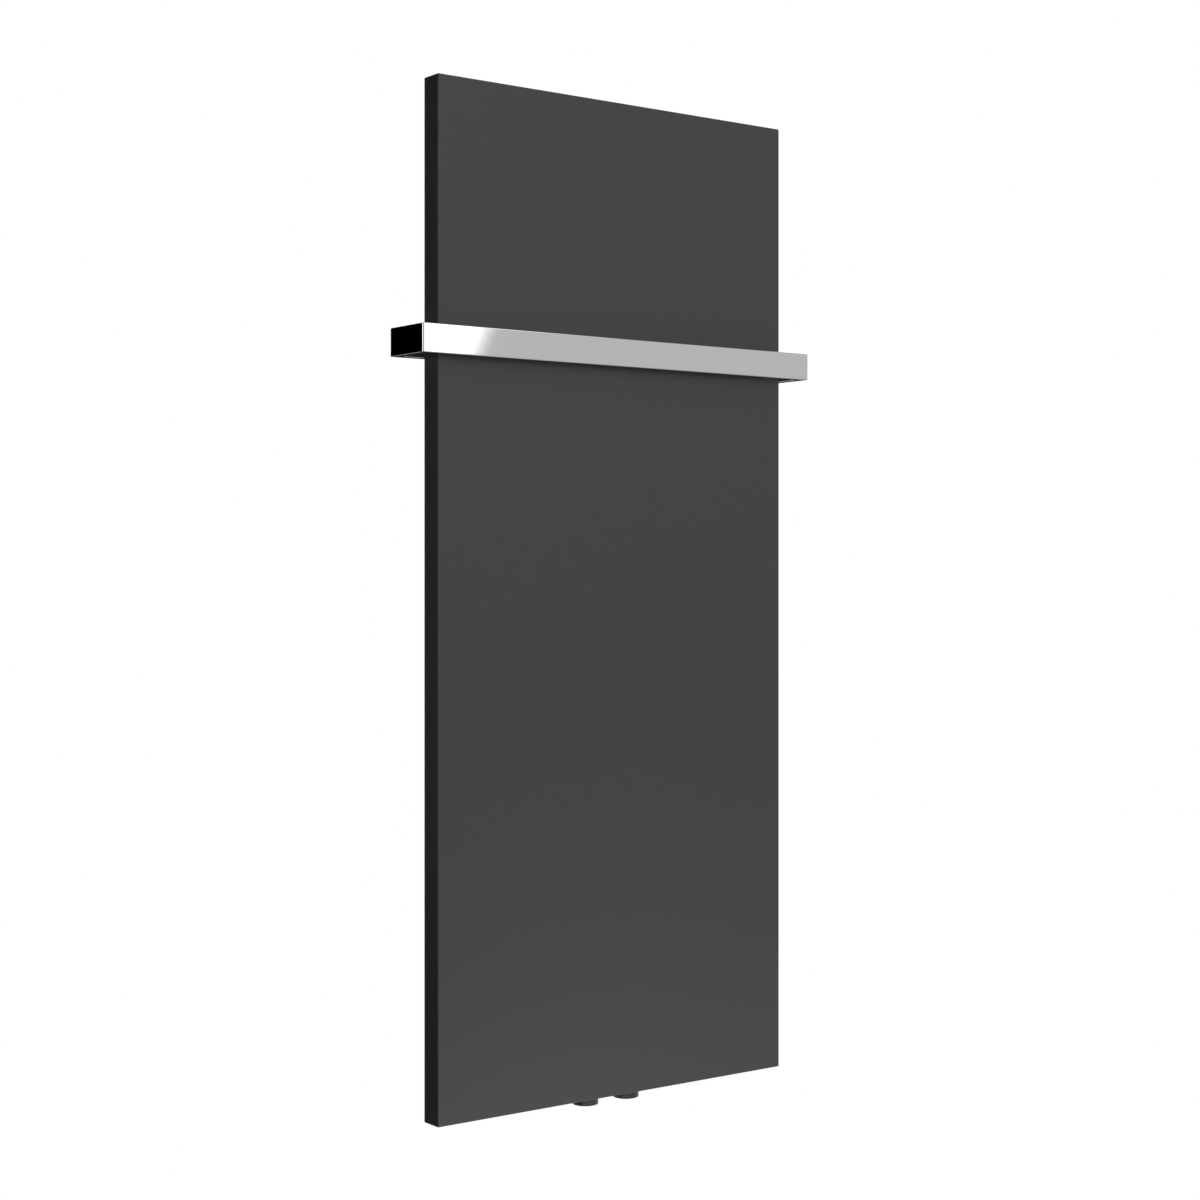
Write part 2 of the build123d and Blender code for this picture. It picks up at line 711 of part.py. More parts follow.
with BuildPart() as spacer_nuts:
    with BuildSketch(facing_front(hat_face_y - lug_sheet)):
        for side in sides.values():
            with Locations((side * bracket_offset, adjuster_z)):
                RegularPolygon(m8_nut_across / 2, 6, major_radius=False)
                Circle(m8_radius + running_gap, mode=Mode.SUBTRACT)
    extrude(amount=m8_nut_height)
save(spacer_nuts.part, "spacer_nuts")
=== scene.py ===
"""A wall-hung flat-panel radiator with a chrome towel rail, dressed piece by piece as it is put together.

Metres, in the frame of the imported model: +X is right, +Y goes into the wall, +Z is up.
"""
import math

import bpy
import numpy as np
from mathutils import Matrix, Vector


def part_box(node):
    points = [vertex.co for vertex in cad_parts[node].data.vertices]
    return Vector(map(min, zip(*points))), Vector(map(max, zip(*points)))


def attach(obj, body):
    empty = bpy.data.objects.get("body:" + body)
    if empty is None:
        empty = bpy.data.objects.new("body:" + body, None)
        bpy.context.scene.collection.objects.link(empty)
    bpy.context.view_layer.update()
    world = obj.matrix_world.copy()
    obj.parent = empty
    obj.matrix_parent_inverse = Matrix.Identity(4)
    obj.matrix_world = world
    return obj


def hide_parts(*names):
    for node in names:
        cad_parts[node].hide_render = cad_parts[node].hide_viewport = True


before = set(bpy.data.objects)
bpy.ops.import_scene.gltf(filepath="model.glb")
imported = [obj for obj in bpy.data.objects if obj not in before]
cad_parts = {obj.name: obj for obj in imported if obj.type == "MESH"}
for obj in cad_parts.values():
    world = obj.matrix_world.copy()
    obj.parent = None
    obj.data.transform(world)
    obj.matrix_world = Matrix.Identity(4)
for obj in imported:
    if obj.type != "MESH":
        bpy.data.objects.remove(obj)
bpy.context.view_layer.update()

# ---- camera --------------------------------------------------------------------------------------
# A level camera at the height of the panel's middle and well out to the left: verticals stay upright,
# and the front and the left side both show.
lens_data = bpy.data.cameras.new("camera")
lens_data.sensor_width = 36.0
lens_data.lens = 64.1
lens_data.shift_x = -0.0044
lens_data.shift_y = -0.0177
camera = bpy.data.objects.new("camera", lens_data)
camera.location = (-1.268, -1.746, -0.350)
camera.rotation_euler = (math.radians(90), 0, -math.radians(36.59))
bpy.context.scene.collection.objects.link(camera)
bpy.context.scene.camera = camera
bpy.context.scene.view_settings.view_transform = "Standard"


# ---- studio --------------------------------------------------------------------------------------
# A white sweep of floor and backdrop round the radiator. One wide soft box fills the front and ends in
# a slanted edge, and a dimmer wall carries on from there to the right. A strip light stands on the far
# left, a soft box behind on the right, and the floor glows most before the front's left corner.
def node(tree, kind, inputs=(), **settings):
    """Adds one shader node with its settings, and joins or fills its inputs by name or number."""
    made = tree.nodes.new(kind)
    for name, value in settings.items():
        setattr(made, name, value)
    for name, value in dict(inputs).items():
        if isinstance(value, bpy.types.NodeSocket):
            tree.links.new(value, made.inputs[name])
        else:
            made.inputs[name].default_value = value
    return made


def calc(tree, operation, *values):
    """Adds one math node over sockets and plain numbers and returns its result."""
    return node(tree, "ShaderNodeMath", enumerate(values), operation=operation).outputs[0]


def rise(tree, value, low, high):
    """Goes smoothly from 0 to 1 while value goes from low to high."""
    inputs = {"Value": value, "From Min": low, "From Max": high}
    return node(tree, "ShaderNodeMapRange", inputs, interpolation_type="SMOOTHSTEP").outputs["Result"]


def band(tree, value, low, high, soft):
    """Goes smoothly from 0 to 1 where value passes low, and back to 0 where it passes high."""
    fading = calc(tree, "SUBTRACT", 1, rise(tree, value, high - soft, high + soft))
    return calc(tree, "MULTIPLY", rise(tree, value, low - soft, low + soft), fading)


world = bpy.data.worlds.new("studio")
bpy.context.scene.world = world
world.use_nodes = True
sky = world.node_tree
sky.nodes.clear()
white = (1, 1, 1, 1)
degree = math.pi / 180
ray = node(sky, "ShaderNodeTexCoord").outputs["Generated"]
ray_x, ray_y, ray_z = node(sky, "ShaderNodeSeparateXYZ", {0: ray}).outputs
bearing = calc(sky, "DIVIDE", calc(sky, "ARCTAN2", ray_x, calc(sky, "MULTIPLY", ray_y, -1)), degree)
behind = calc(sky, "DIVIDE", calc(sky, "ARCTAN2", ray_x, ray_y), degree)
height = calc(sky, "DIVIDE", calc(sky, "ARCSINE", ray_z), degree)

# The wide box and the wall beside it: the box's right edge leans with height. A faint fill continues
# them to the left, and all three dim upwards.
box_strength = 1.60
wall_strength = 0.50
fill_strength = 0.13
edge_bearing = 30.54
edge_lean = 0.42
edge_soft = 0.45
box_edge = calc(sky, "MULTIPLY_ADD", height, edge_lean, edge_bearing)
past_edge = calc(sky, "SUBTRACT", bearing, box_edge)
wall_side = rise(sky, past_edge, -edge_soft, edge_soft)
box_side = calc(sky, "SUBTRACT", 1, wall_side)
left_end = rise(sky, bearing, -16, -8)
lifted = rise(sky, height, -38, -20)
box_light = calc(sky, "MULTIPLY", calc(sky, "MULTIPLY", box_side, left_end), lifted)
wall_end = calc(sky, "SUBTRACT", 1, rise(sky, calc(sky, "SUBTRACT", bearing, height), 75, 95))
wall_light = calc(sky, "MULTIPLY", wall_side, wall_end)
lit = calc(sky, "MULTIPLY_ADD", box_light, box_strength, calc(sky, "MULTIPLY", wall_light, wall_strength))
fill = calc(sky, "MULTIPLY", band(sky, bearing, -80, -14, 6), rise(sky, height, -8, 2))
lit = calc(sky, "MULTIPLY_ADD", fill, fill_strength, lit)
dimmer_up = calc(sky, "MULTIPLY_ADD", rise(sky, height, 2, 40), -0.5, 1)
lit = calc(sky, "MULTIPLY", lit, dimmer_up)

# The strip on the far left, the rear box, and a trace of light from below the horizon.
strip_strength = 1.6
rear_strength = 1.9
below_strength = 0.016
strip = calc(sky, "MULTIPLY", band(sky, bearing, -123, -79, 4), band(sky, height, -4.5, 10.5, 2.5))
lit = calc(sky, "MULTIPLY_ADD", strip, strip_strength, lit)
rear = calc(sky, "MULTIPLY", band(sky, behind, 7, 59, 7), rise(sky, height, -2, 8))
lit = calc(sky, "MULTIPLY_ADD", rear, rear_strength, lit)
below = calc(sky, "SUBTRACT", 1, rise(sky, height, -4, 0))
lit = calc(sky, "MULTIPLY_ADD", below, below_strength, lit)
studio_light = node(sky, "ShaderNodeBackground", {"Color": white, "Strength": lit})
backdrop = node(sky, "ShaderNodeBackground", {"Color": white, "Strength": 1})
seen = node(sky, "ShaderNodeLightPath").outputs["Is Camera Ray"]
sky_mix = node(sky, "ShaderNodeMixShader", {0: seen, 1: studio_light.outputs[0], 2: backdrop.outputs[0]})
node(sky, "ShaderNodeOutputWorld", {"Surface": sky_mix.outputs[0]})

floor_drop = 0.15
floor_half = 6.0
floor_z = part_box("front_cover")[0].z - floor_drop
floor_corners = [(x, y, floor_z) for x, y in ((-1, -1), (1, -1), (1, 1), (-1, 1))]
floor_mesh = bpy.data.meshes.new("floor")
floor_mesh.from_pydata([(x * floor_half, y * floor_half, z) for x, y, z in floor_corners], [], [(0, 1, 2, 3)])
floor = bpy.data.objects.new("floor", floor_mesh)
bpy.context.scene.collection.objects.link(floor)


def pool_of_light(tree, place, centre, full, none):
    """A round pool on the floor: 1 within the full radius of its centre, 0 beyond the outer one."""
    spot = {0: place, 1: (*centre, floor_z)}
    away = node(tree, "ShaderNodeVectorMath", spot, operation="DISTANCE").outputs["Value"]
    return calc(tree, "SUBTRACT", 1, rise(tree, away, full, none))


# The floor's glow: a bright pool and a wide faint one before the front's left corner, held back on the
# left, one behind on the right, and a dim ring far out. From below the floor is clear.
front_pool = (-0.33, -0.42)
rear_pool = (1.9, 2.2)
pool_glow = 0.64
wide_glow = 0.72
rear_glow = 0.6
ring_glow = 0.12
left_share = 0.03
floor_paint = bpy.data.materials.new("floor_paint")
floor_paint.use_nodes = True
tree = floor_paint.node_tree
tree.nodes.clear()
place = node(tree, "ShaderNodeTexCoord").outputs["Object"]
bright = pool_of_light(tree, place, front_pool, 0.05, 0.70)
wide = pool_of_light(tree, place, front_pool, 0.5, 2.6)
glow = calc(tree, "MULTIPLY_ADD", bright, pool_glow, calc(tree, "MULTIPLY", wide, wide_glow))
not_left = rise(tree, node(tree, "ShaderNodeSeparateXYZ", {0: place}).outputs["X"], -0.32, -0.15)
glow = calc(tree, "MULTIPLY", glow, calc(tree, "MULTIPLY_ADD", not_left, 1 - left_share, left_share))
glow = calc(tree, "MULTIPLY_ADD", pool_of_light(tree, place, rear_pool, 0.6, 2.8), rear_glow, glow)
ring = calc(tree, "SUBTRACT", 1, pool_of_light(tree, place, (0, 0), 1.6, 2.8))
glow = calc(tree, "MULTIPLY_ADD", ring, ring_glow, glow)
lighting = node(tree, "ShaderNodeEmission", {"Color": white, "Strength": glow})
shown = node(tree, "ShaderNodeEmission", {"Color": white, "Strength": 1})
clear = node(tree, "ShaderNodeBsdfTransparent")
seen = node(tree, "ShaderNodeLightPath").outputs["Is Camera Ray"]
under = node(tree, "ShaderNodeNewGeometry").outputs["Backfacing"]
floor_mix = node(tree, "ShaderNodeMixShader", {0: seen, 1: lighting.outputs[0], 2: shown.outputs[0]})
one_sided = node(tree, "ShaderNodeMixShader", {0: under, 1: floor_mix.outputs[0], 2: clear.outputs[0]})
node(tree, "ShaderNodeOutputMaterial", {"Surface": one_sided.outputs[0]})
floor_mesh.materials.append(floor_paint)


# ---- front cover ---------------------------------------------------------------------------------
# One sheet of 1.5 mm steel folded into a shallow tray, its corners welded and ground flush, then
# powder coated in a fine matt anthracite. The bottom edge is notched round the two pipe sockets and
# the top edge above each vent, so that a key gets in.
def skin(rings, closed=False):
    """Covers a stack of closed rings, an array of (rings, points, 3), with four-sided faces.

    Point i of a ring joins point i + 1 and the same two points of the next ring. The first and last
    rings get one flat face each, or meet each other when closed is true. The sign of the enclosed
    volume, a sum of triple products over the faces, tells whether to turn the faces round.
    """
    rows, columns = rings.shape[:2]
    number = np.arange(rows * columns).reshape(rows, columns)
    beside = np.roll(number, -1, axis=1)
    if closed:
        ahead = np.roll(number, -1, axis=0)
        quads = np.stack([number, beside, np.roll(beside, -1, axis=0), ahead], axis=-1).reshape(-1, 4)
        ends = []
    else:
        quads = np.stack([number[:-1], beside[:-1], beside[1:], number[1:]], axis=-1).reshape(-1, 4)
        ends = [number[0][::-1], number[-1]]
    points = rings.reshape(-1, 3)
    local = points - points.mean(axis=0)
    a, b, c, d = (local[quads[:, i]] for i in range(4))
    volume = np.einsum("ij,ij->", a, np.cross(b, c)) + np.einsum("ij,ij->", a, np.cross(c, d))
    for end in ends:
        first, second, third = local[end[0]], local[end[1:-1]], local[end[2:]]
        volume += np.einsum("j,ij->", first, np.cross(second, third))
    if volume < 0:
        quads = quads[:, ::-1]
        ends = [end[::-1] for end in ends]
    return points, quads.tolist() + [end.tolist() for end in ends]


def build(name, shells, crease=35):
    """Joins shells of points and faces into one piece, smooth but for edges sharper than crease degrees."""
    points, faces, start = [], [], 0
    for shell_points, shell_faces in shells:
        points.append(shell_points)
        faces += [[index + start for index in face] for face in shell_faces]
        start += len(shell_points)
    mesh = bpy.data.meshes.new(name)
    mesh.from_pydata(np.vstack(points).tolist(), [], faces)
    mesh.shade_smooth()
    mesh.set_sharp_from_angle(angle=math.radians(crease))
    made = bpy.data.objects.new(name, mesh)
    bpy.context.scene.collection.objects.link(made)
    return made


def group(name, inputs, outputs):
    """Starts a shader group and returns it with the sockets that it reads and the ones that it fills."""
    made = bpy.data.node_groups.new(name, "ShaderNodeTree")
    for label, kind, value in inputs:
        socket = made.interface.new_socket(label, in_out="INPUT", socket_type="NodeSocket" + kind)
        if value is not None:
            socket.default_value = value
    for label, kind in outputs:
        made.interface.new_socket(label, in_out="OUTPUT", socket_type="NodeSocket" + kind)
    return made, node(made, "NodeGroupInput").outputs, node(made, "NodeGroupOutput").inputs


def noise(tree, place, size, detail=2.0):
    """A noise pattern with features about size metres across, from 0 to 1."""
    scale = calc(tree, "DIVIDE", 1, size)
    return node(tree, "ShaderNodeTexNoise", {"Vector": place, "Scale": scale, "Detail": detail}).outputs[0]


# The cured powder: fine pimples, the slow roll of orange peel under them, and a faint drift of tone.
coat_grain, given, wanted = group(
    "coat_grain",
    [
        ("Place", "Vector", None),
        ("Pimple", "Float", 0.0007),
        ("Peel", "Float", 0.005),
        ("Drift", "Float", 0.02),
    ],
    [("Height", "Float"), ("Tone", "Float"), ("Rough", "Float")],
)
pimples = noise(coat_grain, given["Place"], given["Pimple"])
peel = noise(coat_grain, given["Place"], given["Peel"], 1.0)
clouds = noise(coat_grain, given["Place"], 0.11, 1.0)
pimple_relief, pimple_tone, peel_gloss = 0.35, 0.10, 0.06
relief = calc(coat_grain, "MULTIPLY_ADD", pimples, pimple_relief, peel)
drift = calc(coat_grain, "MULTIPLY", calc(coat_grain, "SUBTRACT", clouds, 0.5), given["Drift"])
speck = calc(coat_grain, "MULTIPLY_ADD", calc(coat_grain, "SUBTRACT", pimples, 0.5), pimple_tone, 1)
uneven = calc(coat_grain, "MULTIPLY", calc(coat_grain, "SUBTRACT", peel, 0.5), peel_gloss)
for label, value in (("Height", relief), ("Tone", calc(coat_grain, "ADD", drift, speck)), ("Rough", uneven)):
    coat_grain.links.new(value, wanted[label])

# Dust that settles on what faces up: a mask from the surface's direction, broken up by soft noise.
settled_dust, given, wanted = group(
    "settled_dust", [("Place", "Vector", None), ("Amount", "Float", 0.1)], [("Mask", "Float")]
)
facing = node(settled_dust, "ShaderNodeNewGeometry").outputs["Normal"]
upward = rise(settled_dust, node(settled_dust, "ShaderNodeSeparateXYZ", {0: facing}).outputs[2], 0.6, 0.95)
patches = rise(settled_dust, noise(settled_dust, given["Place"], 0.006, 3.0), 0.3, 0.75)
dusted = calc(settled_dust, "MULTIPLY", calc(settled_dust, "MULTIPLY", upward, patches), given["Amount"])
settled_dust.links.new(dusted, wanted["Mask"])


def surface(name):
    """Starts a material and returns it with its node tree, its shader and the object's own coordinates."""
    made = bpy.data.materials.new(name)
    made.use_nodes = True
    tree = made.node_tree
    return made, tree, tree.nodes["Principled BSDF"], node(tree, "ShaderNodeTexCoord").outputs["Object"]


def blend_color(tree, share, first, second):
    """Mixes two colours, the second by share."""
    made = node(tree, "ShaderNodeMix", data_type="RGBA")
    for index, value in ((0, share), (6, first), (7, second)):
        if isinstance(value, bpy.types.NodeSocket):
            tree.links.new(value, made.inputs[index])
        else:
            made.inputs[index].default_value = value
    return made.outputs[2]


dust_color = (0.30, 0.29, 0.27, 1)
dust_roughness = 0.4


def finish_surface(tree, shader, place, color, tone, gloss, relief, relief_height, dust):
    """Joins a material's tone, gloss and relief to its shader, under a veil of settled dust."""
    settled = node(tree, "ShaderNodeGroup", {"Place": place, "Amount": dust}, node_tree=settled_dust)
    toned = node(tree, "ShaderNodeHueSaturation", {"Color": (*color, 1), "Value": tone})
    shade = blend_color(tree, settled.outputs["Mask"], toned.outputs[0], dust_color)
    tree.links.new(shade, shader.inputs["Base Color"])
    dulled = calc(tree, "MULTIPLY_ADD", settled.outputs["Mask"], dust_roughness, gloss)
    tree.links.new(dulled, shader.inputs["Roughness"])
    bump = node(tree, "ShaderNodeBump", {"Height": relief, "Distance": relief_height})
    tree.links.new(bump.outputs[0], shader.inputs["Normal"])


def powder_coat(name, color, roughness, pimple, relief_height, dust):
    """A matt powder coat: its tone, gloss and relief come from the shared grain, with dust on top."""
    made, tree, shader, place = surface(name)
    grain = node(tree, "ShaderNodeGroup", {"Place": place, "Pimple": pimple}, node_tree=coat_grain)
    gloss = calc(tree, "ADD", grain.outputs["Rough"], roughness)
    finish_surface(
        tree, shader, place, color, grain.outputs["Tone"], gloss, grain.outputs["Height"], relief_height, dust
    )
    return made


anthracite = powder_coat("anthracite_coat", (0.067, 0.067, 0.0738), 0.46, 0.0007, 0.00004, 0.05)

sheet = 0.0015
fold = 0.0010
corner = 0.0012
inner_corner = 0.0003
lip = 0.0006
burr = lip / 3
notch_centre_y = -0.0385
socket_notch = (0.025, 0.014)
key_notch = (0.170, 0.011)
panel_low, panel_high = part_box("front_cover")
half_width = panel_high.x
half_height = (panel_high.z - panel_low.z) / 2
middle_z = (panel_high.z + panel_low.z) / 2
far = 10.0
quarter = np.linspace(0, math.pi / 2, 5)
bow = np.sin(np.linspace(0, math.pi / 2, 13))
hair = 0.00001
socket_half = socket_notch[0] + socket_notch[1] * bow
# Places along the straight runs of the tray's edges, closer together round each notch.
bottom_half = np.concatenate([[0.0, 0.012], socket_half, [socket_half[-1] + hair, 0.06, 0.1, 0.15, 0.19]])
key_span = key_notch[1] * np.concatenate([-bow[:0:-1], bow])
top_half = np.concatenate(
    [[0.0, 0.08, 0.14, key_notch[0] - key_notch[1] - hair], key_notch[0] + key_span]
    + [[key_notch[0] + key_notch[1] + hair, 0.19]]
)
side_run = np.linspace(-0.46, 0.46, 24)


def mirrored(half):
    """The whole run from left to right of places given for its right half."""
    return np.concatenate([-half[:0:-1], half])


# The way round the tray, anticlockwise from the front's lower left corner: for each point the place on
# its straight run, or a corner far beyond it, and the direction that points out of the tray.
runs = [
    (mirrored(bottom_half), -far, (0, -1), (far, -far, -math.pi / 2)),
    (far, side_run, (1, 0), (far, far, 0.0)),
    (mirrored(top_half)[::-1], far, (0, 1), (-far, far, math.pi / 2)),
    (-far, side_run[::-1], (-1, 0), (-far, -far, math.pi)),
]
way = []
for run_x, run_z, (out_x, out_z), (corner_x, corner_z, turn) in runs:
    along = np.column_stack(np.broadcast_arrays(run_x, run_z, out_x, out_z)).astype(float)
    round_it = np.column_stack(
        np.broadcast_arrays(corner_x, corner_z, np.cos(turn + quarter), np.sin(turn + quarter))
    )
    way += [along, round_it]
way_x, way_z, out_x, out_z = np.vstack(way).T


def tray_ring(inset, radius, depth, scale=1.0):
    """One ring round the tray: an inner rectangle's points, plus the corner radius times the way out."""
    wide, high = half_width - inset - radius, half_height - inset - radius
    x = np.clip(way_x, -wide, wide) + radius * out_x
    z = np.clip(way_z, -high, high) + radius * out_z
    return np.column_stack([x * scale, np.broadcast_to(depth, x.shape), middle_z + z * scale])


def notched(offset, radius):
    """How far a round notch cuts forward of its centre, at an offset along the edge; none outside it."""
    return np.sqrt(np.clip(radius**2 - offset**2, 0, None))


at_bottom = (out_z == -1) & (np.abs(way_x) <= socket_half[-1] + hair / 2)
at_top = (out_z == 1) & (np.abs(np.abs(way_x) - key_notch[0]) <= key_notch[1] + hair / 2)
past_pitch = np.clip(np.abs(way_x) - socket_notch[0], 0, None)
edge_y = np.full(way_x.shape, panel_high.y)
edge_y[at_bottom] = notch_centre_y - notched(past_pitch[at_bottom], socket_notch[1])
edge_y[at_top] = notch_centre_y - notched(np.abs(way_x[at_top]) - key_notch[0], key_notch[1])

front_y = panel_low.y
face_scales = np.array([0.02, 0.12, 0.25, 0.38, 0.5, 0.62, 0.73, 0.83, 0.91, 0.96, 0.99, 0.9992])
fold_turn = np.linspace(0, math.pi / 2, 6)
outer = [tray_ring(fold, corner - fold, front_y, scale) for scale in face_scales]
for a in fold_turn:
    inset = fold * (1 - math.sin(a))
    outer.append(tray_ring(inset, corner - inset, front_y + fold * (1 - math.cos(a))))
flange = [tray_ring(0, corner, front_y + fold + (edge_y - lip - front_y - fold) * share)
          for share in (0.015, 0.25, 0.5, 0.75, 0.985)]
cut_edge = []
for a in fold_turn:
    inset = lip * (1 - math.cos(a))
    cut_edge.append(tray_ring(inset, corner - inset, edge_y - lip + lip * math.sin(a)))
cut_edge.append(tray_ring(sheet - burr, inner_corner, edge_y))
inside = [tray_ring(sheet, inner_corner, front_y + sheet + (edge_y - burr - front_y - sheet) * share)
          for share in (1.0, 0.985, 0.6, 0.3, 0.0)]
inside += [tray_ring(sheet, inner_corner, front_y + sheet, scale) for scale in (0.97, 0.7, 0.4, 0.1)]
tray = np.array(outer + flange + cut_edge + inside)
# The sheet is never quite flat: a shallow wave, fading out to nothing at the folds.
oil_can = 0.00006
wave_across, wave_up, wave_start = 0.055, 0.09, 0.7
sway = np.sin(tray[:, :, 0] / wave_across + wave_start) * np.cos((tray[:, :, 2] - middle_z) / wave_up)
edge_free = np.clip(1 - (tray[:, :, 0] / half_width) ** 2, 0, 1)
edge_free = edge_free * np.clip(1 - ((tray[:, :, 2] - middle_z) / half_height) ** 2, 0, 1)
tray[:, :, 1] += oil_can * sway * edge_free
front_cover = build("front_cover_tray", [skin(tray)])
front_cover.data.materials.append(anthracite)
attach(front_cover, "radiator")
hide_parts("front_cover")


# ---- water tubes ---------------------------------------------------------------------------------
# Six flat steel tubes stand side by side behind the front sheet, tacked to it along their edges before
# the whole body is dipped, primed and coated.
def dress(material, *names):
    """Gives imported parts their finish."""
    for name in names:
        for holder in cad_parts[name].material_slots:
            holder.material = material


def bead(path, radius, across, ripple=0.0018, closed=False):
    """One weld bead: a round rope carried along a path, swelling once per ripple and rounded at its ends.

    The radius is scaled by 1 plus a sixth of the squared share of the ripple gone by.
    """
    step = np.linalg.norm(np.diff(path, axis=0), axis=1)
    gone = np.concatenate([[0], np.cumsum(step)])
    size = radius * (1 + (gone / ripple % 1) ** 2 / 6)
    if closed:
        heading = np.roll(path, -1, axis=0) - np.roll(path, 1, axis=0)
    else:
        heading = np.gradient(path, axis=0)
        to_end = np.clip(np.minimum(gone, gone[-1] - gone) / radius, 0.02, 1)
        size = size * np.sqrt(1 - (1 - to_end) ** 2)
    heading /= np.linalg.norm(heading, axis=1)[:, None]
    across = np.broadcast_to(np.array(across, dtype=float), heading.shape)
    away = np.cross(heading, across)
    angle = np.linspace(0, 2 * math.pi, 10, endpoint=False)[None, :, None]
    spread = np.cos(angle) * across[:, None, :] + np.sin(angle) * away[:, None, :]
    return skin(path[:, None, :] + size[:, None, None] * spread, closed)


def straight(start, end, spacing=0.0003):
    """Points evenly along a straight line."""
    start, end = np.array(start), np.array(end)
    count = max(2, int(np.linalg.norm(end - start) / spacing))
    return start + np.linspace(0, 1, count)[:, None] * (end - start)


tube_names = [f"water_tube_{number}" for number in range(1, 7)]
dress(anthracite, *tube_names)
tack_length = 0.012
tack_radius = 0.0013
tack_margin = 0.09
tacks_per_edge = 6
tacks = []
for name in tube_names:
    low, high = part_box(name)
    for tack_z in np.linspace(low.z + tack_margin, high.z - tack_margin, tacks_per_edge):
        for tack_x in (low.x, high.x):
            ends = [(tack_x, low.y, tack_z + half) for half in (-tack_length / 2, tack_length / 2)]
            tacks.append(bead(straight(*ends, spacing=0.0006), tack_radius, (1, 0, 0)))
tube_tacks = build("tube_tack_welds", tacks)
tube_tacks.data.materials.append(anthracite)
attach(tube_tacks, "radiator")


# ---- headers -------------------------------------------------------------------------------------
# Two rectangular steel tubes run across the backs of the water tubes and join them. Beads of weld hold
# them to each water tube, close their end caps, and a baffle inside the lower one parts flow and return.
dress(anthracite, "upper_header", "lower_header", "flow_baffle")
for level in ("upper", "lower"):
    dress(anthracite, f"{level}_header_cap_left", f"{level}_header_cap_right")
bead_radius = 0.0017
cap_bead_radius = 0.0009
cap_corner = 0.003
tube_corner = 0.005


def round_frame(centre, half_y, half_z, radius, spacing=0.0004):
    """A closed way round a rectangle with round corners that stands across X."""
    arc = np.linspace(0, math.pi / 2, 12)
    path = []
    for turn in range(4):
        angle = arc + turn * math.pi / 2
        side_y = half_y - radius if turn in (0, 3) else radius - half_y
        side_z = half_z - radius if turn in (0, 1) else radius - half_z
        path.append(np.column_stack([side_y + radius * np.cos(angle), side_z + radius * np.sin(angle)]))
    path = np.vstack(path + [path[0][:1]])
    step = np.concatenate([[0], np.cumsum(np.linalg.norm(np.diff(path, axis=0), axis=1))])
    even = np.linspace(0, step[-1], int(step[-1] / spacing), endpoint=False)
    y, z = np.interp(even, step, path[:, 0]), np.interp(even, step, path[:, 1])
    return np.column_stack([np.full(even.shape, centre[0]), centre[1] + y, centre[2] + z])


header_beads = []
for level in ("lower", "upper"):
    low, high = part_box(f"{level}_header")
    for name in tube_names:
        tube_low, tube_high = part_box(name)
        for seam_z in (low.z, high.z):
            ends = [(x, low.y, seam_z) for x in (tube_low.x + tube_corner, tube_high.x - tube_corner)]
            header_beads.append(bead(straight(*ends), bead_radius, (0, 1, 0)))
    for seam_x in (low.x, high.x):
        centre = (seam_x, (low.y + high.y) / 2, (low.z + high.z) / 2)
        path = round_frame(centre, (high.y - low.y) / 2, (high.z - low.z) / 2, cap_corner)
        header_beads.append(bead(path, cap_bead_radius, (1, 0, 0), closed=True))
header_welds = build("header_welds", header_beads)
header_welds.data.materials.append(anthracite)
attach(header_welds, "radiator")


# ---- connection sockets --------------------------------------------------------------------------
# Two turned steel bosses with a half-inch pipe thread, 50 mm apart, welded under the lower header. They
# are coated outside with everything else, and a plug keeps the coat off the thread.
def turned(rows, origin, along, pitch=1.0, spokes=64):
    """Rings of a turned piece, from rows of radius, distance along the axis, thread depth and apothem.

    A thread takes its depth off the radius in straight flanks, once per pitch and once round. An
    apothem cuts the ring to a hexagon: no point lies further out than apothem over the cosine of the
    angle from the middle of its flat.
    """
    rows = np.array([tuple(row) + (0.0,) * (4 - len(row)) for row in rows])
    radius, distance, depth, apothem = rows.T[:, :, None]
    angle = np.linspace(0, 2 * math.pi, spokes, endpoint=False)[None, :]
    phase = (distance / pitch - angle / (2 * math.pi)) % 1
    radius = radius - depth * (1 - np.abs(2 * phase - 1))
    flat = np.cos(angle % (math.pi / 3) - math.pi / 6)
    radius = np.where(apothem > 0, np.minimum(radius, apothem / flat), radius)
    along = np.array(along, dtype=float)
    first = np.array([1.0, 0.0, 0.0])
    second = np.cross(along, first)
    ring = np.cos(angle)[..., None] * first + np.sin(angle)[..., None] * second
    return np.array(origin) + distance[..., None] * along + radius[..., None] * ring


def between(first, last, count):
    """Evenly spaced rows from one row to another, both kept."""
    return [tuple(row) for row in np.linspace(first, last, count)]


def collar_seam(centre_x, centre_y, height_z, radius, points=200):
    """A level circle of points, for the bead round a boss."""
    turn = np.linspace(0, 2 * math.pi, points, endpoint=False)
    flat = np.column_stack([centre_x + radius * np.cos(turn), centre_y + radius * np.sin(turn)])
    return np.column_stack([flat, np.full(points, height_z)])


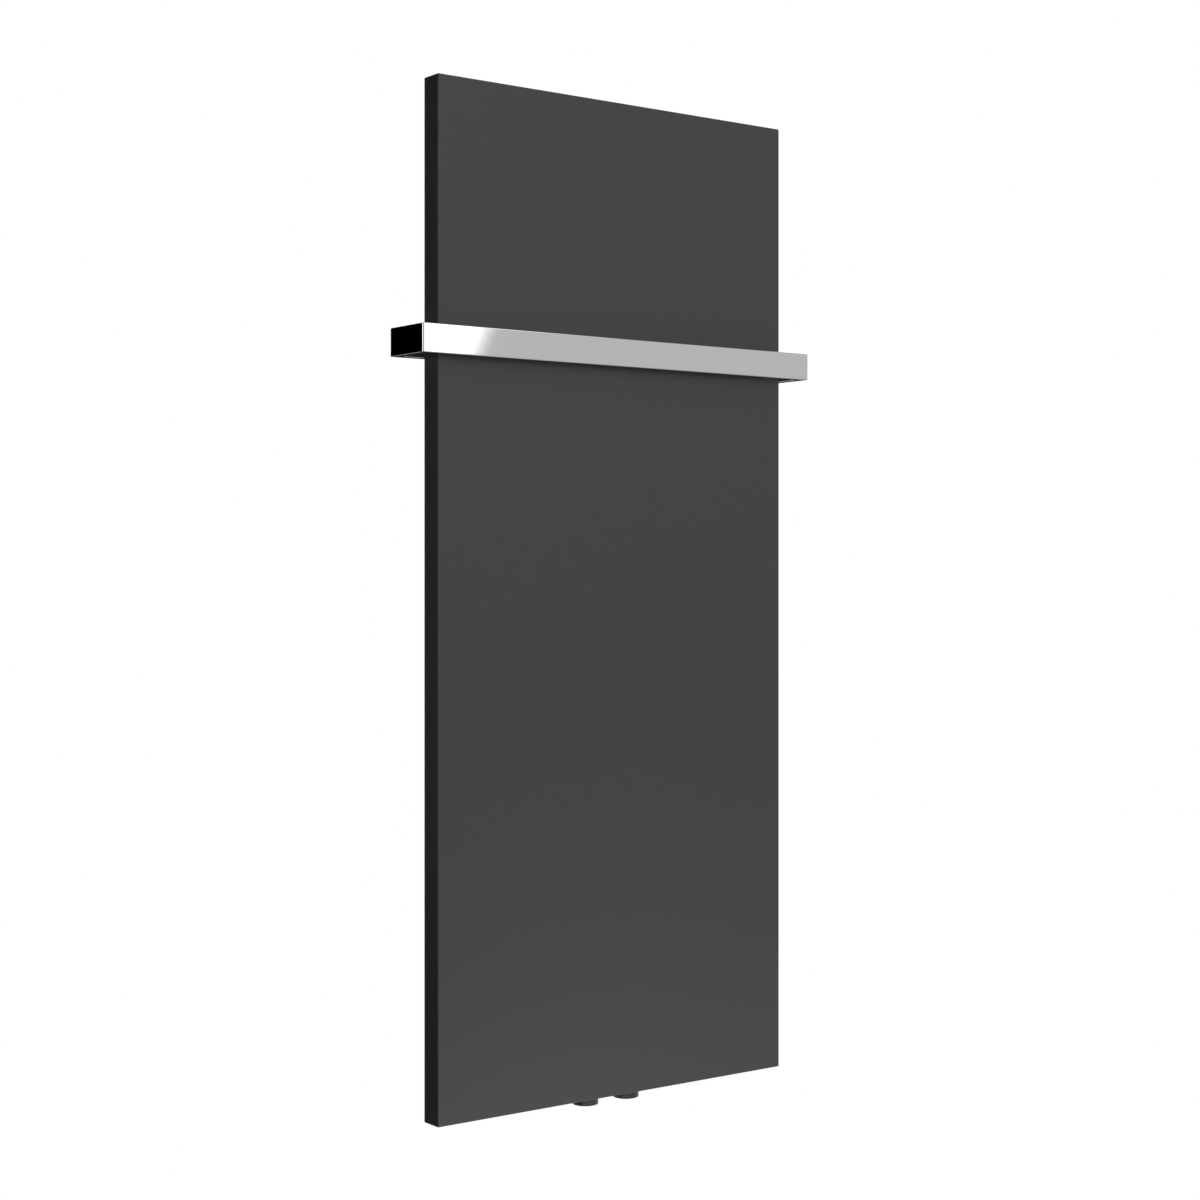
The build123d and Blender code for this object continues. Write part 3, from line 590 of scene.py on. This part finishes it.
# The half-inch pipe thread: 14 turns to the inch, its depth taken outwards from the minor radius.
thread_pitch = 0.001814
socket_thread = 0.00116
minor = 0.00932
thread_start, thread_end, thread_floor = 0.0006, 0.0148, 0.016
waterway = 0.007
spigot_bore = 0.009
rim_chamfer = 0.0008
rim_round = 0.0002
socket_bead_radius = 0.0015
mouth_radius = minor + socket_thread + 0.0003
sockets = []
socket_beads = []
for side in ("left", "right"):
    low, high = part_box(f"connection_socket_{side}")
    outer_radius = (high.x - low.x) / 2
    header_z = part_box("lower_header")[0].z
    shoulder, tip = header_z - low.z, high.z - low.z
    rows = [(outer_radius, shoulder), (outer_radius, rim_chamfer)]
    rows += [(outer_radius - rim_round, rim_chamfer / 2 - rim_round / 2), (outer_radius - rim_chamfer, 0.0)]
    rows += [(mouth_radius, 0.0), (minor + socket_thread, thread_start)]
    rows += between((minor, thread_start, -socket_thread), (minor, thread_end, -socket_thread), 96)
    rows += [(minor, thread_floor), (waterway, thread_floor), (waterway, tip)]
    rows += [(spigot_bore, tip), (spigot_bore, shoulder)]
    origin = ((low.x + high.x) / 2, (low.y + high.y) / 2, low.z)
    sockets.append((side, skin(turned(rows, origin, (0, 0, 1), thread_pitch, 96), closed=True)))
    seam = collar_seam(origin[0], origin[1], header_z, outer_radius)
    socket_beads.append(bead(seam, socket_bead_radius, (0, 0, 1), closed=True))
socket_coat = powder_coat("socket_coat", (0.016, 0.016, 0.017), 0.22, 0.0009, 0.00002, 0.0)
for side, shell in sockets:
    socket = build(f"pipe_socket_{side}", [shell])
    socket.data.materials.append(socket_coat)
    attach(socket, "radiator")
    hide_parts(f"connection_socket_{side}")
socket_welds = build("socket_welds", socket_beads)
socket_welds.data.materials.append(anthracite)
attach(socket_welds, "radiator")


# ---- vent sockets, bleed valve and blanking plug ---------------------------------------------------
# Small threaded bosses stand on the upper header. The right one takes a nickel-plated brass bleed valve
# with a square-headed needle screw and a white plastic spout that swivels round it, the left one a plug.
dress(anthracite, "vent_socket_left", "vent_socket_right")
vent_bead_radius = 0.0012
vent_beads = []
for side in ("left", "right"):
    low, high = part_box(f"vent_socket_{side}")
    reach = (high.x - low.x) / 2
    header_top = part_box("upper_header")[1].z
    seam = collar_seam((low.x + high.x) / 2, (low.y + high.y) / 2, header_top, reach, 160)
    vent_beads.append(bead(seam, vent_bead_radius, (0, 0, 1), closed=True))
vent_welds = build("vent_socket_welds", vent_beads)
vent_welds.data.materials.append(anthracite)
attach(vent_welds, "radiator")

# Marks of machining and handling on bare or plated metal: fine scratches both ways and slow blotches.
metal_marks, given, wanted = group(
    "metal_marks",
    [("Place", "Vector", None), ("Grain", "Vector", (1, 1, 1)), ("Size", "Float", 0.0006)],
    [("Height", "Float"), ("Marks", "Float")],
)
grain_way = {0: given["Place"], 1: given["Grain"]}
drawn = node(metal_marks, "ShaderNodeVectorMath", grain_way, operation="MULTIPLY").outputs[0]
scratch = noise(metal_marks, drawn, given["Size"], 3.0)
blotch = noise(metal_marks, given["Place"], 0.012, 2.0)
metal_marks.links.new(scratch, wanted["Height"])
both = calc(metal_marks, "SUBTRACT", calc(metal_marks, "ADD", scratch, blotch), 1)
metal_marks.links.new(both, wanted["Marks"])


def plated(name, color, roughness, spread, size, grain=(1, 1, 1), relief_height=0.000005):
    """Plated metal: marks change its gloss and its tone by up to spread, and its relief a little."""
    made, tree, shader, place = surface(name)
    shader.inputs["Metallic"].default_value = 1.0
    inputs = {"Place": place, "Grain": grain, "Size": size}
    marks = node(tree, "ShaderNodeGroup", inputs, node_tree=metal_marks)
    tone = calc(tree, "MULTIPLY_ADD", marks.outputs["Marks"], spread, 1)
    gloss = calc(tree, "MULTIPLY_ADD", marks.outputs["Marks"], spread, roughness)
    finish_surface(tree, shader, place, color, tone, gloss, marks.outputs["Height"], relief_height, 0.0)
    return made


def moulded(name, color, roughness, grain_size, relief_height):
    """Moulded plastic or rubber: like the powder coat but with a fine spark-eroded grain."""
    return powder_coat(name, color, roughness, grain_size, relief_height, 0.05)


nickel = plated("nickel_brass", (0.66, 0.63, 0.56), 0.24, 0.12, 0.0008, (1, 1, 4))
white_plastic = moulded("white_plastic", (0.78, 0.78, 0.76), 0.42, 0.0005, 0.00002)
rubber = moulded("seal_rubber", (0.035, 0.035, 0.036), 0.72, 0.0004, 0.00004)
dress(nickel, "bleed_valve_body", "bleed_screw", "blanking_plug")
dress(white_plastic, "bleed_spout")
dress(rubber, "bleed_valve_seal", "blanking_plug_seal")


# ---- towel rail ----------------------------------------------------------------------------------
# A rectangular steel tube bent at four corners into an open frame that wraps round the panel, polished
# and chrome plated. Its two ends turn in behind the panel and stay open, for the plugs.
rail_low, rail_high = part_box("towel_rail")
rail_wide = 0.010
rail_wall = 0.0015
rail_round = 0.0006
outer_bend = 0.002
inner_bend = 0.001
return_end = 0.146
return_points, leg_points, front_points = 12, 8, 60
bend_turn = np.linspace(0, math.pi / 2, 9)
guard = 0.00012


def guarded(start, end, count):
    """Places along a straight run that begin and end a hair inside it, so that the bends stay short."""
    hair_in = math.copysign(guard, end - start)
    return np.linspace(start + hair_in, end - hair_in, count)


def rail_line(inset, bend):
    """The bar's outer or inner outline seen from above, from its left end round to its right end.

    Straight runs alternate with quarter turns; each run and turn has the same number of points in both
    outlines, so point i of one lies across the bar from point i of the other.
    """
    side, near, back = rail_high.x - inset, rail_low.y + inset, rail_high.y - inset
    corners = [(-side + bend, back - bend, 90), (-side + bend, near + bend, 180)]
    corners += [(side - bend, near + bend, 270), (side - bend, back - bend, 0)]
    left_return = guarded(-return_end, -side + bend, return_points)
    path = [np.column_stack([left_return, np.full(return_points, back)])]
    for centre_x, centre_y, start in corners:
        angle = math.radians(start) + bend_turn
        path.append(np.column_stack([centre_x + bend * np.cos(angle), centre_y + bend * np.sin(angle)]))
        if start == 90:
            left_leg = guarded(back - bend, near + bend, leg_points)
            path.append(np.column_stack([np.full(leg_points, -side), left_leg]))
        elif start == 180:
            front = guarded(-side + bend, side - bend, front_points)
            path.append(np.column_stack([front, np.full(front_points, near)]))
        elif start == 270:
            right_leg = guarded(near + bend, back - bend, leg_points)
            path.append(np.column_stack([np.full(leg_points, side), right_leg]))
    right_return = guarded(side - bend, return_end, return_points)
    path.append(np.column_stack([right_return, np.full(return_points, back)]))
    return np.vstack(path)


def bar_section(inset, radius):
    """Shares across the bar and heights round its section, a rectangle with rounded edges."""
    height = rail_high.z - rail_low.z
    turn = np.linspace(0, math.pi / 2, 7)
    depth, level = [], []
    for quarter_turn in range(4):
        angle = turn + quarter_turn * math.pi / 2
        side_a = rail_wide - inset - radius if quarter_turn in (0, 3) else inset + radius
        side_b = height - inset - radius if quarter_turn in (0, 1) else inset + radius
        lead = guard * np.array([-np.sin(angle[0]), np.cos(angle[0])])
        tail = guard * np.array([-np.sin(angle[-1]), np.cos(angle[-1])])
        corner_a, corner_b = side_a + radius * np.cos(angle), side_b + radius * np.sin(angle)
        depth += [corner_a[:1] - lead[0], corner_a, corner_a[-1:] + tail[0]]
        level += [corner_b[:1] - lead[1], corner_b, corner_b[-1:] + tail[1]]
    return np.concatenate(depth) / rail_wide, rail_low.z + np.concatenate(level)


def bar_rings(outer_line, inner_line, inset, radius):
    """The section carried along the bar: its share across runs from the outer to the inner outline."""
    share, level = bar_section(inset, radius)
    flat = outer_line[:, None, :] + (inner_line - outer_line)[:, None, :] * share[None, :, None]
    tall = np.broadcast_to(level, flat.shape[:2])
    return np.concatenate([flat, tall[..., None]], axis=2)


outer_line = rail_line(0.0, outer_bend)
inner_line = rail_line(rail_wide, inner_bend)
shell = bar_rings(outer_line, inner_line, 0.0, rail_round)
bore_depth = 0.012
bore_start = bar_rings(outer_line[:1], inner_line[:1], rail_wall, rail_round)
bore_end = bar_rings(outer_line[-1:], inner_line[-1:], rail_wall, rail_round)
inward = np.array([bore_depth, 0.0, 0.0])
rail_rings = np.concatenate([bore_start - inward, bore_start, shell, bore_end, bore_end + inward])
rail = build("towel_rail_bar", [skin(rail_rings)], crease=50)
chrome = plated("rail_chrome", (0.915, 0.92, 0.94), 0.03, 0.01, 0.002, (0.2, 1, 1), 0.0000001)
rail.data.materials.append(chrome)
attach(rail, "radiator")
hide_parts("towel_rail")


# ---- rail fixings --------------------------------------------------------------------------------
# The rail's ends are screwed to two folded hat brackets welded on the outer tubes: M5 button heads with
# washers on the wall side, nuts inside the hats. Black plastic plugs close the tube ends.
black_plastic = moulded("black_plastic", (0.022, 0.022, 0.023), 0.48, 0.0006, 0.00003)
zinc = plated("zinc_steel", (0.60, 0.61, 0.63), 0.30, 0.16, 0.0011)
dress(anthracite, "rail_bracket_left", "rail_bracket_right")
dress(black_plastic, "rail_end_plug_left", "rail_end_plug_right")
dress(zinc, "rail_nuts", "rail_washers")
m5_pitch = 0.0008
m5_depth = 0.0003
shank = 0.0025
screw_offsets = (0.162, 0.178)
screw_low, screw_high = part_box("rail_screws")
screw_length = screw_high.y - screw_low.y
head_base = screw_length - 0.003
rows = [(shank - 0.0007, 0.0), (shank, 0.0006)]
rows += between((shank, 0.0007, m5_depth), (shank, head_base - 0.001, m5_depth), 160)
rows += [(shank, head_base)]

# The button head is a quarter ellipse that ends on the rim of its hexagon key hole.
head_radius = 0.0045
dome_width, dome_height = 0.0024, 0.0026
key_round, key_inside = 0.0015, 0.00175
key_depth = 0.0019
dome = np.linspace(0.1, 1.0, 8) * math.pi / 2
crown_radius, crown_base = head_radius - dome_width, screw_length - dome_height
rows += [(head_radius - 0.0002, head_base), (head_radius, head_base + 0.0004)]
rows += [(crown_radius + dome_width * math.cos(a), crown_base + dome_height * math.sin(a)) for a in dome]
rows += [(key_inside + 0.0001, screw_length, 0, key_round)]
rows += [(key_inside, screw_length - 0.0003, 0, key_round)]
rows += [(key_inside, screw_length - key_depth, 0, key_round), (0.0002, screw_length - key_depth - 0.0005)]
screw_shells = []
for side in (-1, 1):
    for offset in screw_offsets:
        origin = (side * offset, screw_low.y, (screw_low.z + screw_high.z) / 2)
        screw_shells.append(skin(turned(rows, origin, (0, 1, 0), m5_pitch, 48)))
button_screws = build("rail_button_screws", screw_shells)
button_screws.data.materials.append(zinc)
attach(button_screws, "radiator")
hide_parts("rail_screws")

hat_bead_radius = 0.0015
hat_margin = 0.002
hat_beads = []
for name in ("rail_bracket_left", "rail_bracket_right", "spacer_bracket_left", "spacer_bracket_right"):
    low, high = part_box(name)
    for seam_x in (low.x, high.x):
        ends = [(seam_x, low.y, z) for z in (low.z + hat_margin, high.z - hat_margin)]
        hat_beads.append(bead(straight(*ends), hat_bead_radius, (0, 1, 0)))


# ---- hanging lugs --------------------------------------------------------------------------------
# Two folded steel lugs are welded to the tube backs near the top. Each holds a zinc-plated cross pin,
# which drops into a hook on the wall.
dress(anthracite, "hanging_lug_left", "hanging_lug_right")
dress(zinc, "hanging_pin_left", "hanging_pin_right")
lug_margin = 0.003
lug_stand = 0.0004
for name in ("hanging_lug_left", "hanging_lug_right"):
    low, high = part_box(name)
    for seam_x in (low.x, high.x):
        ends = [(seam_x, low.y + lug_stand, z) for z in (low.z + lug_margin, high.z - lug_margin)]
        hat_beads.append(bead(straight(*ends), hat_bead_radius, (0, 1, 0)))
bracket_welds = build("bracket_welds", hat_beads)
bracket_welds.data.materials.append(anthracite)
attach(bracket_welds, "radiator")


# ---- wall brackets -------------------------------------------------------------------------------
# Two plates screwed to the wall, each with a welded arm that ends in an upward hook. A black plastic
# liner in the hook keeps the pin from scraping when the radiator is hung.
bracket_coat = powder_coat("bracket_coat", (0.055, 0.055, 0.057), 0.42, 0.0008, 0.00004, 0.08)
dress(bracket_coat, "wall_bracket_left", "wall_bracket_right")
dress(black_plastic, "hook_liner_left", "hook_liner_right")
arm_half = 0.003
arm_low, arm_high = -0.026, 0.024
arm_bead_radius = 0.0013
plate_y = -0.003
arm_beads = []
for name in ("wall_bracket_left", "wall_bracket_right"):
    low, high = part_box(name)
    centre_x = (low.x + high.x) / 2
    for seam_x in (centre_x - arm_half, centre_x + arm_half):
        ends = [(seam_x, plate_y, z) for z in (arm_low, arm_high)]
        arm_beads.append(bead(straight(*ends), arm_bead_radius, (0, 1, 0)))
arm_welds = build("wall_bracket_welds", arm_beads)
arm_welds.data.materials.append(bracket_coat)
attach(arm_welds, "wall_brackets")


# ---- plumb adjusters -----------------------------------------------------------------------------
# Two M8 spindles near the bottom set the radiator upright. Each turns in a nut welded inside a hat
# bracket, with a hexagon collar for a spanner and a black plastic foot with a rubber pad on the wall.
dress(anthracite, "spacer_bracket_left", "spacer_bracket_right")
dress(zinc, "spacer_nuts")
m8_pitch = 0.00125
m8_depth = 0.0006
spindle_radius = 0.004
spindle_core = 0.0034
collar_plane = -0.018
hex_outer, hex_round = 0.0076, 0.0065
collar_rows = [(0.0062, 0.0), (0.0070, 0.0004), (hex_outer, 0.0008)]
collar_rows += [(hex_outer, 0.0037), (0.0070, 0.0041), (0.0062, 0.0045)]
neck_radius, neck_start, neck_end = 0.003, 0.0045, 0.0065
ball_radius, ball_end = 0.0045, 0.0095
spokes = 96
flutes, flute_depth = 12, 0.035
foot_bore, foot_socket, foot_floor = 0.0032, 0.0046, 0.0014
foot_mouth = 0.009
ridge_outer, ridge_inner, ridge_step = 0.0105, 0.002, 0.0022
groove_depth = 0.0006
for side in ("left", "right"):
    low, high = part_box(f"spacer_screw_{side}")
    foot_low, foot_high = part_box(f"spacer_foot_{side}")
    pad_low, pad_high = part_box(f"spacer_pad_{side}")
    centre_x, centre_z = (low.x + high.x) / 2, (low.z + high.z) / 2
    collar = collar_plane - low.y
    rows = [(neck_radius, 0.0), (spindle_radius, 0.0009)]
    rows += between((spindle_radius, 0.001, m8_depth), (spindle_radius, collar - 0.0012, m8_depth), 200)
    rows += [(spindle_core, collar - 0.001), (spindle_core, collar)]
    rows += [(radius, collar + along, 0, hex_round) for radius, along in collar_rows]
    rows += [(neck_radius, collar + neck_start), (neck_radius, collar + neck_end)]
    rows += [(ball_radius - 0.0002, collar + neck_end), (ball_radius, collar + neck_end + 0.0002)]
    rows += [(ball_radius, collar + ball_end - 0.0002), (ball_radius - 0.0002, collar + ball_end)]
    origin = (centre_x, low.y, centre_z)
    spindle = build(f"plumb_spindle_{side}", [skin(turned(rows, origin, (0, 1, 0), m8_pitch, 72))])
    spindle.data.materials.append(zinc)
    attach(spindle, f"spacer_screw_{side}")
    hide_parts(f"spacer_screw_{side}")

    length = foot_high.y - foot_low.y
    wide = (foot_high.x - foot_low.x) / 2
    rows = [(foot_bore, 0.0), (foot_mouth - 0.0008, 0.0)]
    rows += [(foot_mouth - 0.0002, 0.0002), (foot_mouth, 0.0008)]
    rows += between((foot_mouth + 0.0002, 0.0016), (wide - 0.0006, length - 0.002), 8)
    rows += [(wide, length - 0.0012), (wide, length), (foot_socket, length)]
    rows += [(foot_socket, foot_floor), (foot_bore, foot_floor)]
    shape = turned(rows, (centre_x, foot_low.y, centre_z), (0, 1, 0), spokes=spokes)
    spoke = np.linspace(0, 2 * math.pi, spokes, endpoint=False)
    fluted = 1 - flute_depth * np.clip(np.cos(flutes * spoke), 0, 1)
    middle = np.array([centre_x, 0.0, centre_z])
    flank = slice(4, 12)
    flat = (shape[flank] - middle) * fluted[None, :, None] + middle
    flat[..., 1] = shape[flank, :, 1]
    shape[flank] = flat
    foot = build(f"plumb_foot_{side}", [skin(shape, closed=True)])
    foot.data.materials.append(black_plastic)
    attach(foot, f"spacer_foot_{side}")
    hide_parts(f"spacer_foot_{side}")

    thick = pad_high.y - pad_low.y
    groove = thick - groove_depth
    rows = [(0.0002, 0.0), (wide - 0.0004, 0.0), (wide, 0.0005)]
    rows += [(wide, thick - 0.0006), (wide - 0.0005, thick - 0.0001)]
    for ridge in np.arange(ridge_outer, ridge_inner, -ridge_step):
        rows += [(ridge, thick), (ridge - 0.0004, groove)]
        rows += [(ridge - 0.0010, groove), (ridge - 0.0014, thick)]
    rows += [(0.0002, thick)]
    origin = (centre_x, pad_low.y, centre_z)
    pad = build(f"plumb_pad_{side}", [skin(turned(rows, origin, (0, 1, 0), spokes=72))])
    pad.data.materials.append(rubber)
    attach(pad, f"spacer_foot_{side}")
    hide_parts(f"spacer_pad_{side}")
